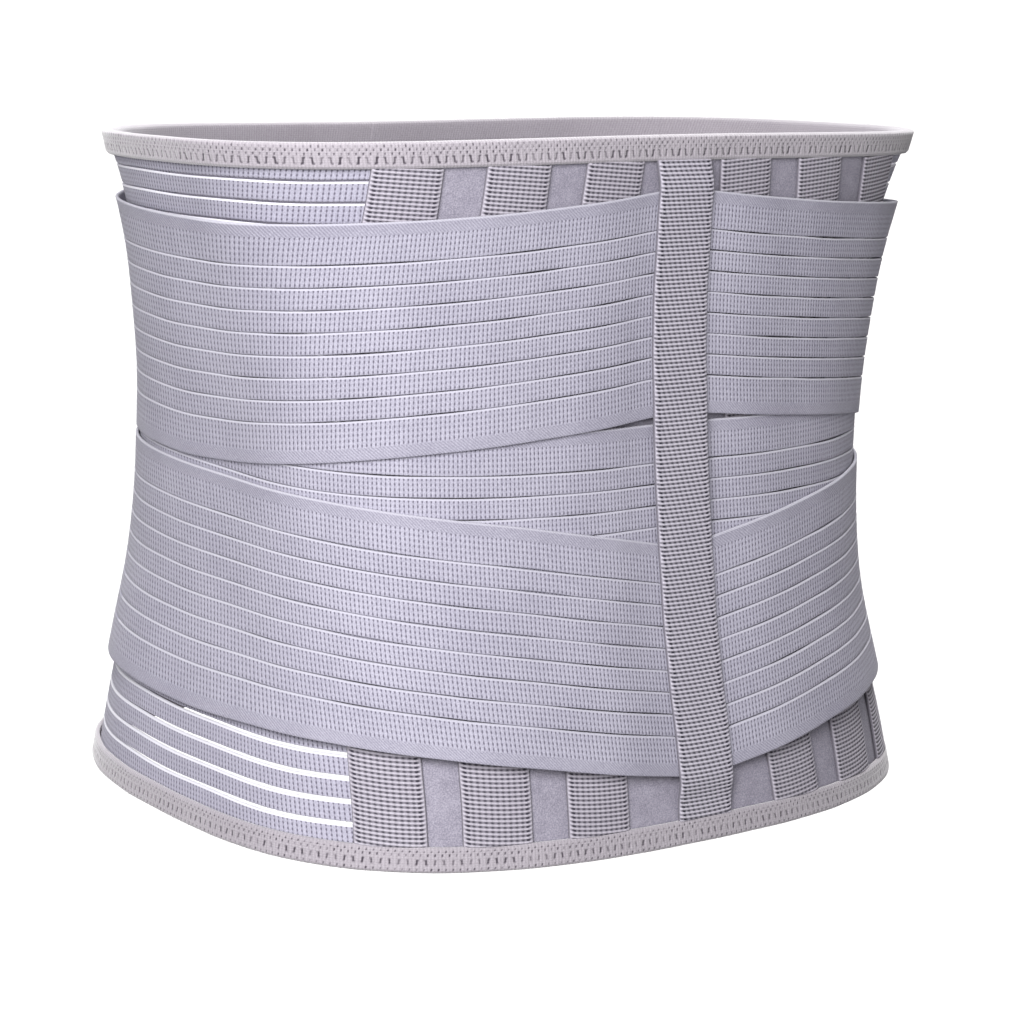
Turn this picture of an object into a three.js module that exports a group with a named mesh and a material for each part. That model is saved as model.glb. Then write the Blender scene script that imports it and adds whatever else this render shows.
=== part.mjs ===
// Lumbosacral brace: an elastic belt for the lower back, fastened in a loop as it is worn.
// Its back panel carries six webbing stay channels, its sides are slit elastic, and five slit
// elastic pull straps cross the back under a centre tape. Millimetres, +Z up, the wearer faces +Y.
import * as THREE from "three";

// Driving dimensions
const HEIGHT = 250; // bottom edge to top edge at the back
const WAIST_HEIGHT = 125; // height of the origin above the bottom edge
const TOP_DIP = 11; // how much lower the top edge is at the front than at the back
const WEBBING_WIDTH = 25;
const STRAP_SLITS = 8;
const STRAP_EDGE_BAND = 13.2; // the unslit band along each edge of a strap
const STRAP_BAND = 7.2; // each band between two slits of a strap
const STRAP_THICKNESS = 1.1;
const STRAP_START = 1.5; // girth of a strap's sewn end, under the centre tape
const STRAP_SLIT_END = 274; // girth where its slits end, past the side of the waist
const STRAP_END = 330; // girth of its plain front end, on the front closure
const SIDE_SLITS = 30;
const SIDE_SLIT_FIRST = 15; // height of the lowest slit of a side
const SIDE_SLIT_LAST = 236.8; // height of the highest one, before the top edge falls
const SIDE_SLIT_OPENING = 1.3;
const SIDE_SLIT_END = 304;
const FRONT_SEAM = 312; // girth where the side elastic meets the front closure
const BINDING_WIDTH = 9;
const PANEL_THICKNESS = 2;
const CHANNEL_THICKNESS = 1;
const CHANNEL_CROWN = 0.3; // how far the stay inside raises a channel's middle
const TAPE_THICKNESS = 1.3;
const GAP = 0.3; // clearance between neighbouring pieces
const SEAM_TUCK = 8; // how far the side elastic reaches under the outer stay channel
const EDGE_TUCK = 2.4; // distance of a wall's edge from the binding's fold

// The form that the worn brace keeps: half its width, and its depth behind and before the origin.
const FORM = [
  { height: 0, halfWidth: 147, backDepth: 111, frontDepth: 137 },
  { height: 25, halfWidth: 141.5, backDepth: 105, frontDepth: 138 },
  { height: 50, halfWidth: 134.5, backDepth: 98.5, frontDepth: 140 },
  { height: 75, halfWidth: 128.5, backDepth: 92.5, frontDepth: 139.5 },
  { height: 100, halfWidth: 126.5, backDepth: 88, frontDepth: 137 },
  { height: 125, halfWidth: 127.5, backDepth: 84, frontDepth: 133 },
  { height: 150, halfWidth: 130, backDepth: 81, frontDepth: 128 },
  { height: 175, halfWidth: 135, backDepth: 78.5, frontDepth: 122.5 },
  { height: 200, halfWidth: 141.5, backDepth: 77.5, frontDepth: 116.5 },
  { height: 225, halfWidth: 151, backDepth: 78, frontDepth: 111 },
  { height: 250, halfWidth: 163, backDepth: 79.5, frontDepth: 106 },
];
const BACK_ROUNDNESS = 2.65; // exponents of the superellipse sections, where 2 is an ellipse
const FRONT_ROUNDNESS = 2.9;

// Stay channels on one side: the girth of the channel's middle line at the bottom and top edges.
const CHANNELS = [
  { number: 1, bottom: 122.5, top: 109.5 },
  { number: 2, bottom: 86, top: 69 },
  { number: 3, bottom: 47.5, top: 29.5 },
];

// Pull straps along their length: heights of the edges, and the lift of the inner face off the
// form for the middle strap and for those that lie over it. The slits gape as a strap widens.
const STRAP_RUN = [
  { girth: 0, upper: [151.5, 231.5], lower: [23, 104], middleLift: 2.7, overLift: 4.3 },
  { girth: 13, upper: [150.7, 230.3], lower: [25, 106.5], middleLift: 2.7, overLift: 4.3 },
  { girth: 34, upper: [148.7, 228], lower: [28.5, 110.8], middleLift: 4.9, overLift: 6.5 },
  { girth: 72, upper: [145, 224.6], lower: [35.2, 117.4], middleLift: 5.3, overLift: 6.9 },
  { girth: 104, upper: [141.3, 222.3], lower: [39.5, 121.2], middleLift: 5.3, overLift: 6.9 },
  { girth: 124, upper: [138.2, 221], lower: [41.4, 123.4], middleLift: 5, overLift: 6.6 },
  { girth: 140, upper: [135.3, 219.7], lower: [42.2, 124.4], middleLift: 4.5, overLift: 6.1 },
  { girth: 170, upper: [130.8, 217.6], lower: [41.8, 124.8], middleLift: 2.4, overLift: 4 },
  { girth: 206, upper: [127.6, 217], lower: [39.9, 124.7], middleLift: 2.4, overLift: 4 },
  { girth: 274, upper: [127.4, 217.4], lower: [40, 125], middleLift: 2.4, overLift: 4 },
  { girth: 330, upper: [127.4, 217.4], lower: [40, 125], middleLift: 2.4, overLift: 4 },
];
const MIDDLE_STRAP = [68, 148]; // the middle strap lies level, with its edges at these heights

// Girths of the column lines that every layer shares, so that the facets of the layers nest.
const BACK_GIRTHS = [34, 72, 104];
const SIDE_GIRTHS = [140, 170, 204, 240, STRAP_SLIT_END, SIDE_SLIT_END];
const FRONT_SHARES = [0.66, 0.33, 0]; // shares of the front closure's half width
const WALL_ROWS = [0, 0.03, 0.17, 0.29, 0.39, 0.48, 0.57, 0.66, 0.76, 0.87, 0.97, 1];
const WEBBING_ROWS = 10;

// Heights of the centre tape's rows, with the lift of its inner face: it bridges the straps.
const TAPE_RUN = [
  { height: 9.3, lift: 2.5 },
  { height: 17, lift: 3.6 },
  { height: 22, lift: 6 },
  { height: 64, lift: 6 },
  { height: 108, lift: 6 },
  { height: 150, lift: 6 },
  { height: 190, lift: 6 },
  { height: 232.5, lift: 6 },
  { height: 240.7, lift: 2.9 },
];

const COLOURS = {
  elastic: "#b9b6c6",
  panel: "#b4afbc",
  webbing: "#a39daa",
  binding: "#c2bac2",
};

// Tables

// A value of the strap table at a girth between two rows, on a straight line.
function strapAt(girth, value) {
  const last = Math.max(1, STRAP_RUN.findIndex((row) => row.girth >= girth));
  const [a, b] = [STRAP_RUN[last - 1], STRAP_RUN[last]];
  return THREE.MathUtils.mapLinear(girth, a.girth, b.girth, value(a), value(b));
}

// A column of the form's table at a height, on a smooth curve through its evenly spaced rows.
function formAt(height, column) {
  const step = FORM[1].height;
  const row = THREE.MathUtils.clamp(Math.floor(height / step), 0, FORM.length - 2);
  const value = (i) => FORM[THREE.MathUtils.clamp(i, 0, FORM.length - 1)][column];
  const [p0, p1, p2, p3] = [value(row - 1), value(row), value(row + 1), value(row + 2)];
  const t = height / step - row;
  const before = row > 0 ? (p2 - p0) / 2 : p2 - p1;
  const after = row < FORM.length - 2 ? (p3 - p1) / 2 : p2 - p1;
  return (
    (2 * t ** 3 - 3 * t ** 2 + 1) * p1 +
    (t ** 3 - 2 * t ** 2 + t) * before +
    (3 * t ** 2 - 2 * t ** 3) * p2 +
    (t ** 3 - t ** 2) * after
  );
}

// The form's surface

const RING_STEPS = 240;
const rings = new Map();

// Half of the form's section at a height, from the middle of the back round to the middle of the
// front, as points with their girth: the distance along the section from the middle of the back.
function ringAt(height) {
  const key = height.toFixed(3);
  if (rings.has(key)) return rings.get(key);
  const halfWidth = formAt(height, "halfWidth");
  const ring = [];
  for (let i = 0; i <= RING_STEPS; i++) {
    const angle = Math.PI * (i / RING_STEPS - 0.5);
    const [c, s] = [Math.cos(angle), Math.sin(angle)];
    const front = s > 0;
    const depth = formAt(height, front ? "frontDepth" : "backDepth");
    const n = front ? FRONT_ROUNDNESS : BACK_ROUNDNESS;
    const reach = (Math.abs(c) ** n + Math.abs(s) ** n) ** (-1 / n);
    const point = new THREE.Vector2(halfWidth * c * reach, depth * s * reach);
    const girth = i ? ring[i - 1].girth + point.distanceTo(ring[i - 1].point) : 0;
    ring.push({ point, girth });
  }
  rings.set(key, ring);
  return ring;
}

const halfGirth = (height) => ringAt(height)[RING_STEPS].girth;

// A point on the brace: girth from the middle of the back (positive on the wearer's right), height
// above the bottom edge, and lift straight out from the form.
function place(girth, height, lift) {
  const ring = ringAt(height);
  const along = Math.min(Math.abs(girth), ring[RING_STEPS].girth);
  const last = Math.max(1, ring.findIndex((p) => p.girth >= along - 1e-9));
  const [a, b] = [ring[last - 1], ring[last]];
  const point = a.point.clone().lerp(b.point, (along - a.girth) / (b.girth - a.girth));
  const tangent = b.point.clone().sub(a.point).normalize();
  const x = point.x + tangent.y * lift;
  const y = point.y - tangent.x * lift;
  return new THREE.Vector3(girth < 0 ? -x : x, y, height);
}

// The top edge falls a little from the back to the front.
const topEdge = (girth) =>
  HEIGHT - (TOP_DIP / 2) * (1 - Math.cos((Math.PI * Math.abs(girth)) / halfGirth(HEIGHT)));

// Girth of the line where a stay channel's middle lies, at a height.
const channelLine = (channel, height) =>
  THREE.MathUtils.lerp(channel.bottom, channel.top, height / HEIGHT);

// Girth of the outermost stay channel's outer edge at a height, where the slit elastic comes out.
const channelEdge = (height) => channelLine(CHANNELS[0], height) + WEBBING_WIDTH / 2;

// The belt's column lines on the wearer's right, each the girth at a height.
const level = (girth) => () => girth;
const BACK_COLUMNS = BACK_GIRTHS.map(level);
const seamColumn = (height) => channelEdge(height) - SEAM_TUCK;
const SIDE_COLUMNS = [...SIDE_GIRTHS, FRONT_SEAM].map(level);
const FRONT_COLUMNS = FRONT_SHARES.map(
  (share) => (height) => THREE.MathUtils.lerp(halfGirth(height), FRONT_SEAM, share),
);

// The same column lines on the wearer's left, in rising order.
const mirrored = (columns) => columns.map((column) => (height) => -column(height)).reverse();

// Builders

// A closed wall of cells between column lines and row lines. at(i, j, face) gives the corner on
// column i and row j of the inner (0) or outer (1) face, and open(i, j) tells which cells are cut out.
function clothWall({ columns, rows, at, open = () => false }) {
  const positions = [];
  const index = [];
  const corners = new Map();
  const corner = (i, j, face) => {
    const key = `${i} ${j} ${face}`;
    if (!corners.has(key)) {
      corners.set(key, positions.length / 3);
      positions.push(...at(i, j, face).toArray());
    }
    return corners.get(key);
  };
  const quad = (...c) => {
    const [p, q, r, s] = c.map((corner3) => corner(...corner3));
    index.push(p, q, r, p, r, s);
  };
  const solid = (i, j) => i >= 0 && j >= 0 && i < columns && j < rows && !open(i, j);
  for (let i = 0; i < columns; i++) {
    for (let j = 0; j < rows; j++) {
      if (!solid(i, j)) continue;
      const [k, l] = [i + 1, j + 1];
      quad([i, j, 1], [k, j, 1], [k, l, 1], [i, l, 1]);
      quad([i, j, 0], [i, l, 0], [k, l, 0], [k, j, 0]);
      if (!solid(i - 1, j)) quad([i, j, 0], [i, j, 1], [i, l, 1], [i, l, 0]);
      if (!solid(k, j)) quad([k, j, 1], [k, j, 0], [k, l, 0], [k, l, 1]);
      if (!solid(i, j - 1)) quad([i, j, 0], [k, j, 0], [k, j, 1], [i, j, 1]);
      if (!solid(i, l)) quad([i, l, 1], [k, l, 1], [k, l, 0], [i, l, 0]);
    }
  }
  return meshGeometry(positions, index);
}

// A closed loop round the whole brace, swept by a section. at(column, point) places one of the
// section's points on a column line.
function loop({ columns, section, at }) {
  const positions = columns.flatMap((column) => section.flatMap((p) => at(column, p).toArray()));
  const index = [];
  const n = section.length;
  const id = (i, j) => (i % columns.length) * n + (j % n);
  for (let i = 0; i < columns.length; i++) {
    for (let j = 0; j < n; j++) {
      const [p, q, r, s] = [id(i, j), id(i + 1, j), id(i + 1, j + 1), id(i, j + 1)];
      index.push(p, q, r, p, r, s);
    }
  }
  return meshGeometry(positions, index);
}

function meshGeometry(positions, index) {
  const geometry = new THREE.BufferGeometry();
  geometry.setAttribute("position", new THREE.Float32BufferAttribute(positions, 3));
  geometry.setIndex(index);
  geometry.computeVertexNormals();
  return geometry;
}

function piece(name, geometry, colour, roughness = 0.85) {
  const material = new THREE.MeshStandardMaterial({ color: colour, roughness, metalness: 0 });
  const mesh = new THREE.Mesh(geometry, material);
  mesh.name = name;
  return mesh;
}

// Belt

// One wall of the belt: cells between column lines, up to the fold of both bindings.
function beltWall({ columns, shares, faces, open }) {
  const at = (i, j, face) => {
    const top = topEdge(columns[i](HEIGHT)) - EDGE_TUCK;
    const height = THREE.MathUtils.lerp(EDGE_TUCK, top, shares[j]);
    return place(columns[i](height), height, faces[face]);
  };
  return clothWall({ columns: columns.length - 1, rows: shares.length - 1, at, open });
}

function backPanel() {
  const right = [...BACK_COLUMNS, (height) => seamColumn(height) - GAP];
  const columns = [...mirrored(right), level(0), ...right];
  const geometry = beltWall({ columns, shares: WALL_ROWS, faces: [0, PANEL_THICKNESS] });
  return piece("back_panel", geometry, COLOURS.panel, 0.95);
}

// Slit elastic from under the outer stay channel, where its slits run out, to the front seam.
function sidePanel(name, side) {
  const right = [seamColumn, ...SIDE_COLUMNS.slice(0, -1), level(FRONT_SEAM - 3 * GAP)];
  const columns = side < 0 ? mirrored(right) : right;
  const wallHeight = HEIGHT - 2 * EDGE_TUCK;
  const halfSlit = SIDE_SLIT_OPENING / 2 / wallHeight;
  const shares = WALL_ROWS.slice(0, 2);
  for (let slit = 0; slit < SIDE_SLITS; slit++) {
    const height = THREE.MathUtils.lerp(SIDE_SLIT_FIRST, SIDE_SLIT_LAST, slit / (SIDE_SLITS - 1));
    const share = (height - EDGE_TUCK) / wallHeight;
    shares.push(share - halfSlit, share + halfSlit);
  }
  shares.push(...WALL_ROWS.slice(-2));
  const plainEnd = side < 0 ? 0 : columns.length - 2;
  const isSlit = (j) => j % 2 === 0 && j > 0 && j < shares.length - 2;
  const open = (i, j) => isSlit(j) && i !== plainEnd;
  return piece(name, beltWall({ columns, shares, faces: [0.4, 1.6], open }), COLOURS.elastic);
}

// The plain closure across the belly that joins the two side panels.
function frontClosure() {
  const right = [level(FRONT_SEAM + GAP), ...FRONT_COLUMNS];
  const columns = [...right, ...mirrored(right).slice(1)];
  const geometry = beltWall({ columns, shares: WALL_ROWS, faces: [0, PANEL_THICKNESS] });
  return piece("front_closure", geometry, COLOURS.panel, 0.95);
}

// Folded tape over an edge of the belt. The section is drawn as lift from the form and depth from
// the edge, and inward is -1 below a top edge and 1 above a bottom edge.
function binding(name, inward, edge) {
  const [outerFace, innerFace] = [4.1, -2];
  const fold = 1.2;
  const roof = EDGE_TUCK - GAP;
  const section = [
    { lift: outerFace, depth: BINDING_WIDTH },
    { lift: outerFace, depth: fold },
    { lift: outerFace - fold, depth: 0 },
    { lift: innerFace, depth: 0 },
    { lift: innerFace, depth: BINDING_WIDTH },
    { lift: -2 * GAP, depth: BINDING_WIDTH },
    { lift: -2 * GAP, depth: roof },
    { lift: PANEL_THICKNESS + 2 * GAP, depth: roof },
    { lift: PANEL_THICKNESS + 2 * GAP, depth: BINDING_WIDTH },
  ];
  if (inward > 0) section.reverse();
  const right = [...BACK_COLUMNS, seamColumn, ...SIDE_COLUMNS, ...FRONT_COLUMNS];
  const columns = [...mirrored(right.slice(0, -1)), level(0), ...right];
  const at = (column, p) => {
    const height = edge(column(HEIGHT)) + inward * p.depth;
    return place(column(height), height, p.lift);
  };
  return piece(name, loop({ columns, section, at }), COLOURS.binding, 0.9);
}

// Webbing

// A strip of webbing up the back, crowned a little where it is stuffed.
function webbing(name, { rowAt, rows, thickness, crown }) {
  const across = crown ? [-1, 0, 1] : [-1, 1]; // shares of the half width
  const at = (i, j, face) => {
    const { girth, height, lift } = rowAt(j);
    const raised = across[i] ? 0 : crown;
    const out = lift + face * (thickness + raised);
    return place(girth + (across[i] * WEBBING_WIDTH) / 2, height, out);
  };
  const geometry = clothWall({ columns: across.length - 1, rows, at });
  return piece(name, geometry, COLOURS.webbing, 0.9);
}

function stayChannel(name, channel, side) {
  const bottom = BINDING_WIDTH + GAP;
  const top = topEdge(channel.top + WEBBING_WIDTH / 2) - BINDING_WIDTH - GAP;
  const rowAt = (j) => {
    const height = THREE.MathUtils.lerp(bottom, top, j / WEBBING_ROWS);
    return { girth: side * channelLine(channel, height), height, lift: PANEL_THICKNESS + 0.6 };
  };
  const sizes = { rowAt, rows: WEBBING_ROWS, thickness: CHANNEL_THICKNESS, crown: CHANNEL_CROWN };
  return webbing(name, sizes);
}

function centreTape() {
  const rowAt = (j) => ({ girth: 0, ...TAPE_RUN[j] });
  const sizes = { rowAt, rows: TAPE_RUN.length - 1, thickness: TAPE_THICKNESS, crown: 0 };
  return webbing("centre_tape", sizes);
}

// Pull straps

// Slit elastic along a list of girths, between the heights that edgesAt(girth) gives. liftOf reads
// its lift from a row of the strap table. Its slits run out at its sewn end, under the centre tape.
function strap(name, girths, edgesAt, liftOf) {
  const rows = 2 * STRAP_SLITS + 1;
  const bands = 2 * STRAP_EDGE_BAND + (STRAP_SLITS - 1) * STRAP_BAND;
  const up = (j, width) => {
    if (j === 0 || j === rows) return j ? width : 0;
    const opening = (width - bands) / STRAP_SLITS;
    return STRAP_EDGE_BAND + (Math.ceil(j / 2) - 1) * STRAP_BAND + Math.floor(j / 2) * opening;
  };
  const at = (i, j, face) => {
    const girth = Math.abs(girths[i]);
    const [bottom, top] = edgesAt(girth);
    const lift = strapAt(girth, liftOf) + face * STRAP_THICKNESS;
    return place(girths[i], bottom + up(j, top - bottom), lift);
  };
  const open = (i, j) =>
    j % 2 === 1 && Math.max(Math.abs(girths[i]), Math.abs(girths[i + 1])) <= STRAP_SLIT_END;
  const geometry = clothWall({ columns: girths.length - 1, rows, at, open });
  return piece(name, geometry, COLOURS.elastic);
}

function pullStraps() {
  const half = [13, ...BACK_GIRTHS, 124, ...SIDE_GIRTHS];
  const left = (girths) => girths.map((girth) => -girth).reverse();
  const made = [];
  for (const name of ["upper", "lower"]) {
    const edgesAt = (girth) => [0, 1].map((edge) => strapAt(girth, (row) => row[name][edge]));
    const right = [STRAP_START, ...half, STRAP_END];
    made.push(strap(`${name}_strap_left`, left(right), edgesAt, (row) => row.overLift));
    made.push(strap(`${name}_strap_right`, right, edgesAt, (row) => row.overLift));
  }
  const round = [...left(half), ...half];
  made.push(strap("middle_strap", round, () => MIDDLE_STRAP, (row) => row.middleLift));
  return made;
}

// Assembly

const brace = new THREE.Group();
brace.add(backPanel(), sidePanel("side_panel_left", -1), sidePanel("side_panel_right", 1));
brace.add(frontClosure());
brace.add(binding("top_binding", -1, topEdge), binding("bottom_binding", 1, () => 0));
for (const channel of CHANNELS) {
  brace.add(stayChannel(`stay_channel_left_${channel.number}`, channel, -1));
  brace.add(stayChannel(`stay_channel_right_${channel.number}`, channel, 1));
}
brace.add(...pullStraps(), centreTape());
brace.position.z = -WAIST_HEIGHT;

export default brace;
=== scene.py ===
"""Lumbosacral brace, dressed in its slit elastic, ribbed webbing, brushed cloth and bound edges.

Every piece is cut flat and wrapped round the worn form. A flat point is a girth from the middle of
the back (positive on the wearer's right), a height above the bottom edge and a lift off the form,
all in millimetres. The wrapped meshes are in metres, in the part's own frame.
"""

from __future__ import annotations

import logging
import math
from collections.abc import Callable, Mapping, Sequence
from dataclasses import dataclass, field
from enum import Enum, IntEnum

import bmesh
import bpy
import numpy as np
from mathutils import Matrix, Vector

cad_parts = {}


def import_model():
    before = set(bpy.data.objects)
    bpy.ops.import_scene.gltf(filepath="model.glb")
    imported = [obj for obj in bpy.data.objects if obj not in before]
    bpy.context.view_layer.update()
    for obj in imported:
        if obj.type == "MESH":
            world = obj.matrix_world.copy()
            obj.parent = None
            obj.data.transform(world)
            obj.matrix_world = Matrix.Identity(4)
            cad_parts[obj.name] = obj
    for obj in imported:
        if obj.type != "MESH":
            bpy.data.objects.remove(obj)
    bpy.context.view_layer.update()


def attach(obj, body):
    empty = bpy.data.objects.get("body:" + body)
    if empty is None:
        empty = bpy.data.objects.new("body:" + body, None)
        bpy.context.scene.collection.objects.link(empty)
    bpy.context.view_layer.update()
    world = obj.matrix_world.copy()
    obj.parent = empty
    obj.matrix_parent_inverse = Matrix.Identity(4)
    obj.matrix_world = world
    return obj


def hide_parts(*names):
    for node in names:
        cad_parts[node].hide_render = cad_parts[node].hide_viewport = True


# Short names for Blender's types of nodes
Tree = bpy.types.NodeTree
Socket = bpy.types.NodeSocket

LOG = logging.getLogger("brace")
MM = 0.001
TURN = 2 * math.pi
BODY = "root"

# Sizes that several pieces share, in millimetres
HEIGHT = 250.0  # bottom edge to top edge at the back
WAIST_HEIGHT = 125.0  # height of the frame's origin above the bottom edge
TOP_DIP = 11.0  # how much lower the top edge is at the front than at the back
WEBBING_WIDTH = 25.0
BINDING_WIDTH = 9.0
EDGE_TUCK = 2.4  # distance of a wall's edge from the binding's fold
WALL_HEIGHT = HEIGHT - 2 * EDGE_TUCK  # height of a wall between both bindings' folds
PANEL_THICKNESS = 2.0
FRONT_SEAM = 312.0  # girth where the side elastic meets the front closure
SEAM_GAP = 0.3
SEAM_TUCK = 8.0  # how far the side elastic reaches under the outer stay channel

# Numbers of the Mix node's sockets when it mixes colours
MIX_FACTOR, MIX_A, MIX_B, MIX_RESULT = 0, 6, 7, 2


class Side(Enum):
    """The wearer's side of a piece that comes in pairs."""

    LEFT = -1
    RIGHT = 1

    @property
    def word(self) -> str:
        """The side as it stands in the names of pieces."""
        return self.name.lower()


class StrapRow(Enum):
    """The three rows of pull straps up the back."""

    UPPER = "upper"
    MIDDLE = "middle"
    LOWER = "lower"


class Edge(Enum):
    """An edge of the belt, with the direction from it into the belt."""

    TOP = -1
    BOTTOM = 1

    @property
    def word(self) -> str:
        """The edge as it stands in the names of pieces."""
        return self.name.lower()


class Seed(IntEnum):
    """Where the random draws of each kind of unevenness start."""

    STRAP_SWING = 40
    STRAP_GAPE = 100
    SIDE_SAG = 300
    SIDE_SWING = 310
    PUCKER_ALONG = 500
    PUCKER_UP = 510
    BINDING_SWELL = 700
    HOLE_DEPTH = 800
    WEBBING_SWING = 900


# Worn form


@dataclass(frozen=True)
class FormRow:
    """The form's section at one height: half its width, and its depth behind and before the origin."""

    height: float
    half_width: float
    back_depth: float
    front_depth: float


FORM_ROWS = (
    FormRow(0, 147, 111, 137),
    FormRow(25, 141.5, 105, 138),
    FormRow(50, 134.5, 98.5, 140),
    FormRow(75, 128.5, 92.5, 139.5),
    FormRow(100, 126.5, 88, 137),
    FormRow(125, 127.5, 84, 133),
    FormRow(150, 130, 81, 128),
    FormRow(175, 135, 78.5, 122.5),
    FormRow(200, 141.5, 77.5, 116.5),
    FormRow(225, 151, 78, 111),
    FormRow(250, 163, 79.5, 106),
)


@dataclass
class WornForm:
    """The smooth form that the worn brace keeps, which every flat piece is wrapped round."""

    back_roundness: float = 2.65  # exponents of the superellipse sections, where 2 is an ellipse
    front_roundness: float = 2.9
    angle_steps: int = 720
    height_step: float = 2.5
    angles: np.ndarray = field(init=False)
    girths: np.ndarray = field(init=False)

    def __post_init__(self) -> None:
        """Tabulates the girth along half of the section, from the back to the front, up the form."""
        self.angles = np.linspace(-math.pi / 2, math.pi / 2, self.angle_steps + 1)
        heights = np.arange(0, HEIGHT + self.height_step, self.height_step)
        rows = []
        for height in heights:
            points = self.section(self.angles, np.full_like(self.angles, height))
            steps = np.linalg.norm(np.diff(points, axis=0), axis=1)
            rows.append(np.concatenate([[0], np.cumsum(steps)]))
        self.girths = np.array(rows)

    @staticmethod
    def size(height: np.ndarray, column: str) -> np.ndarray:
        """A column of the form's table on a smooth curve through its evenly spaced rows.

        Args:
            height: heights above the bottom edge.
            column: the name of the column.

        Returns:
            The column's values at those heights.
        """
        values = np.array([getattr(row, column) for row in FORM_ROWS])
        step = FORM_ROWS[1].height
        slopes = np.gradient(values)
        row = np.clip(np.floor(height / step).astype(int), 0, len(FORM_ROWS) - 2)
        t = height / step - row
        return (
            (2 * t**3 - 3 * t**2 + 1) * values[row]
            + (t**3 - 2 * t**2 + t) * slopes[row]
            + (3 * t**2 - 2 * t**3) * values[row + 1]
            + (t**3 - t**2) * slopes[row + 1]
        )

    def section(self, angle: np.ndarray, height: np.ndarray) -> np.ndarray:
        """Points of the superellipse sections.

        Args:
            angle: angles round the section, from a quarter turn below zero at the back.
            height: the section's height at each angle.

        Returns:
            An array of x and y for each angle.
        """
        cosine, sine = np.cos(angle), np.sin(angle)
        front = sine > 0
        depth = np.where(front, self.size(height, "front_depth"), self.size(height, "back_depth"))
        power = np.where(front, self.front_roundness, self.back_roundness)
        reach = (np.abs(cosine) ** power + np.abs(sine) ** power) ** (-1 / power)
        return np.stack([self.size(height, "half_width") * cosine * reach, depth * sine * reach], axis=-1)

    def half_girth(self, height: np.ndarray | float) -> np.ndarray:
        """The girth from the middle of the back to the middle of the front at each height."""
        heights = np.arange(len(self.girths)) * self.height_step
        return np.interp(height, heights, self.girths[:, -1])

    def angle_at(self, girth: np.ndarray, height: np.ndarray) -> np.ndarray:
        """Finds points on the sections by their girths.

        Args:
            girth: distances from the middle of the back to either side, from zero up.
            height: heights above the bottom edge.

        Returns:
            The angles round the section where the points lie.
        """
        hair = 1e-3  # keeps the top edge inside the table's last step
        place = np.clip(height / self.height_step, 0, len(self.girths) - 1 - hair)
        low = np.floor(place).astype(int)
        share = girth / self.half_girth(height)
        angle = np.empty_like(share)
        for row in np.unique(low):
            here = low == row
            tables = self.girths[row : row + 2]
            below, above = (np.interp(share[here] * table[-1], table, self.angles) for table in tables)
            angle[here] = below + (place[here] - row) * (above - below)
        return angle

    def folded(self, girth: np.ndarray, height: np.ndarray) -> np.ndarray:
        """The same girths, with those past the middle of the front counted from the wearer's left."""
        half = self.half_girth(height)
        return np.where(girth > half, girth - 2 * half, girth)

    def place(self, girth: np.ndarray, height: np.ndarray, lift: np.ndarray) -> np.ndarray:
        """Wraps flat points round the form.

        Args:
            girth: distances round the form from the middle of the back.
            height: heights above the bottom edge.
            lift: distances straight out from the form.

        Returns:
            An array of points in the part's frame, in metres.
        """
        girth, height, lift = np.broadcast_arrays(girth, height, lift)
        girth = self.folded(girth, height)
        angle = self.angle_at(np.abs(girth), height)
        step = 1e-3
        tangent = self.section(angle + step, height) - self.section(angle - step, height)
        tangent /= np.linalg.norm(tangent, axis=-1, keepdims=True)
        outward = np.stack([tangent[:, 1], -tangent[:, 0]], axis=-1)
        flat = self.section(angle, height) + outward * lift[:, None]
        mirror = np.where(girth < 0, -1, 1)
        return np.stack([flat[:, 0] * mirror, flat[:, 1], height - WAIST_HEIGHT], axis=-1) * MM

    def top_edge(self, girth: np.ndarray | float) -> np.ndarray:
        """Height of the top edge, which falls a little from the back to the front."""
        share = np.abs(girth) / self.half_girth(HEIGHT)
        return HEIGHT - TOP_DIP / 2 * (1 - np.cos(math.pi * share))


def eased(
    at: np.ndarray, stations: Sequence[float], values: Sequence[float], reach: float = 9.0
) -> np.ndarray:
    """A table's values along a length, with its corners rounded off as cloth rounds them.

    Args:
        at: places along the length, from zero up.
        stations: the table's places.
        values: the table's values there.
        reach: how far to each side of a corner the rounding goes.

    Returns:
        The rounded values.
    """
    samples = 9
    offsets = np.linspace(-reach, reach, samples)
    return np.mean([np.interp(np.abs(at + offset), stations, values) for offset in offsets], axis=0)


def wander(at: np.ndarray, seed: int, wavelength: float) -> np.ndarray:
    """The slow uneven swing of handmade cloth, between about -1 and 1.

    Args:
        at: places along the cloth.
        seed: which of many swings it is.
        wavelength: the length of a typical swing.

    Returns:
        The swing at each place.
    """
    count, highest = 4, 2.4  # four waves seldom add up to more than 2.4
    draws = np.random.default_rng(seed)
    lengths = wavelength * draws.uniform(0.55, 1.6, count)
    phases = draws.uniform(0, TURN, count)
    waves = [np.sin(TURN * at / length + phase) for length, phase in zip(lengths, phases)]
    return np.sum(waves, axis=0) / highest


def smoothstep(value: np.ndarray, low: float, high: float) -> np.ndarray:
    """A smooth ramp from 0 at low to 1 at high, which may run downwards."""
    t = np.clip((value - low) / (high - low), 0, 1)
    return t * t * (3 - 2 * t)


# Finishes


def linear(hex_code: str) -> tuple[float, float, float, float]:
    """Turns an sRGB hex colour to the linear colour that shaders take.

    Args:
        hex_code: the colour as #rrggbb.

    Returns:
        Red, green, blue and an alpha of 1.
    """
    channels = (int(hex_code[start : start + 2], 16) / 255 for start in (1, 3, 5))
    red, green, blue = (c / 12.92 if c <= 0.04045 else ((c + 0.055) / 1.055) ** 2.4 for c in channels)
    return red, green, blue, 1.0


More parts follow.
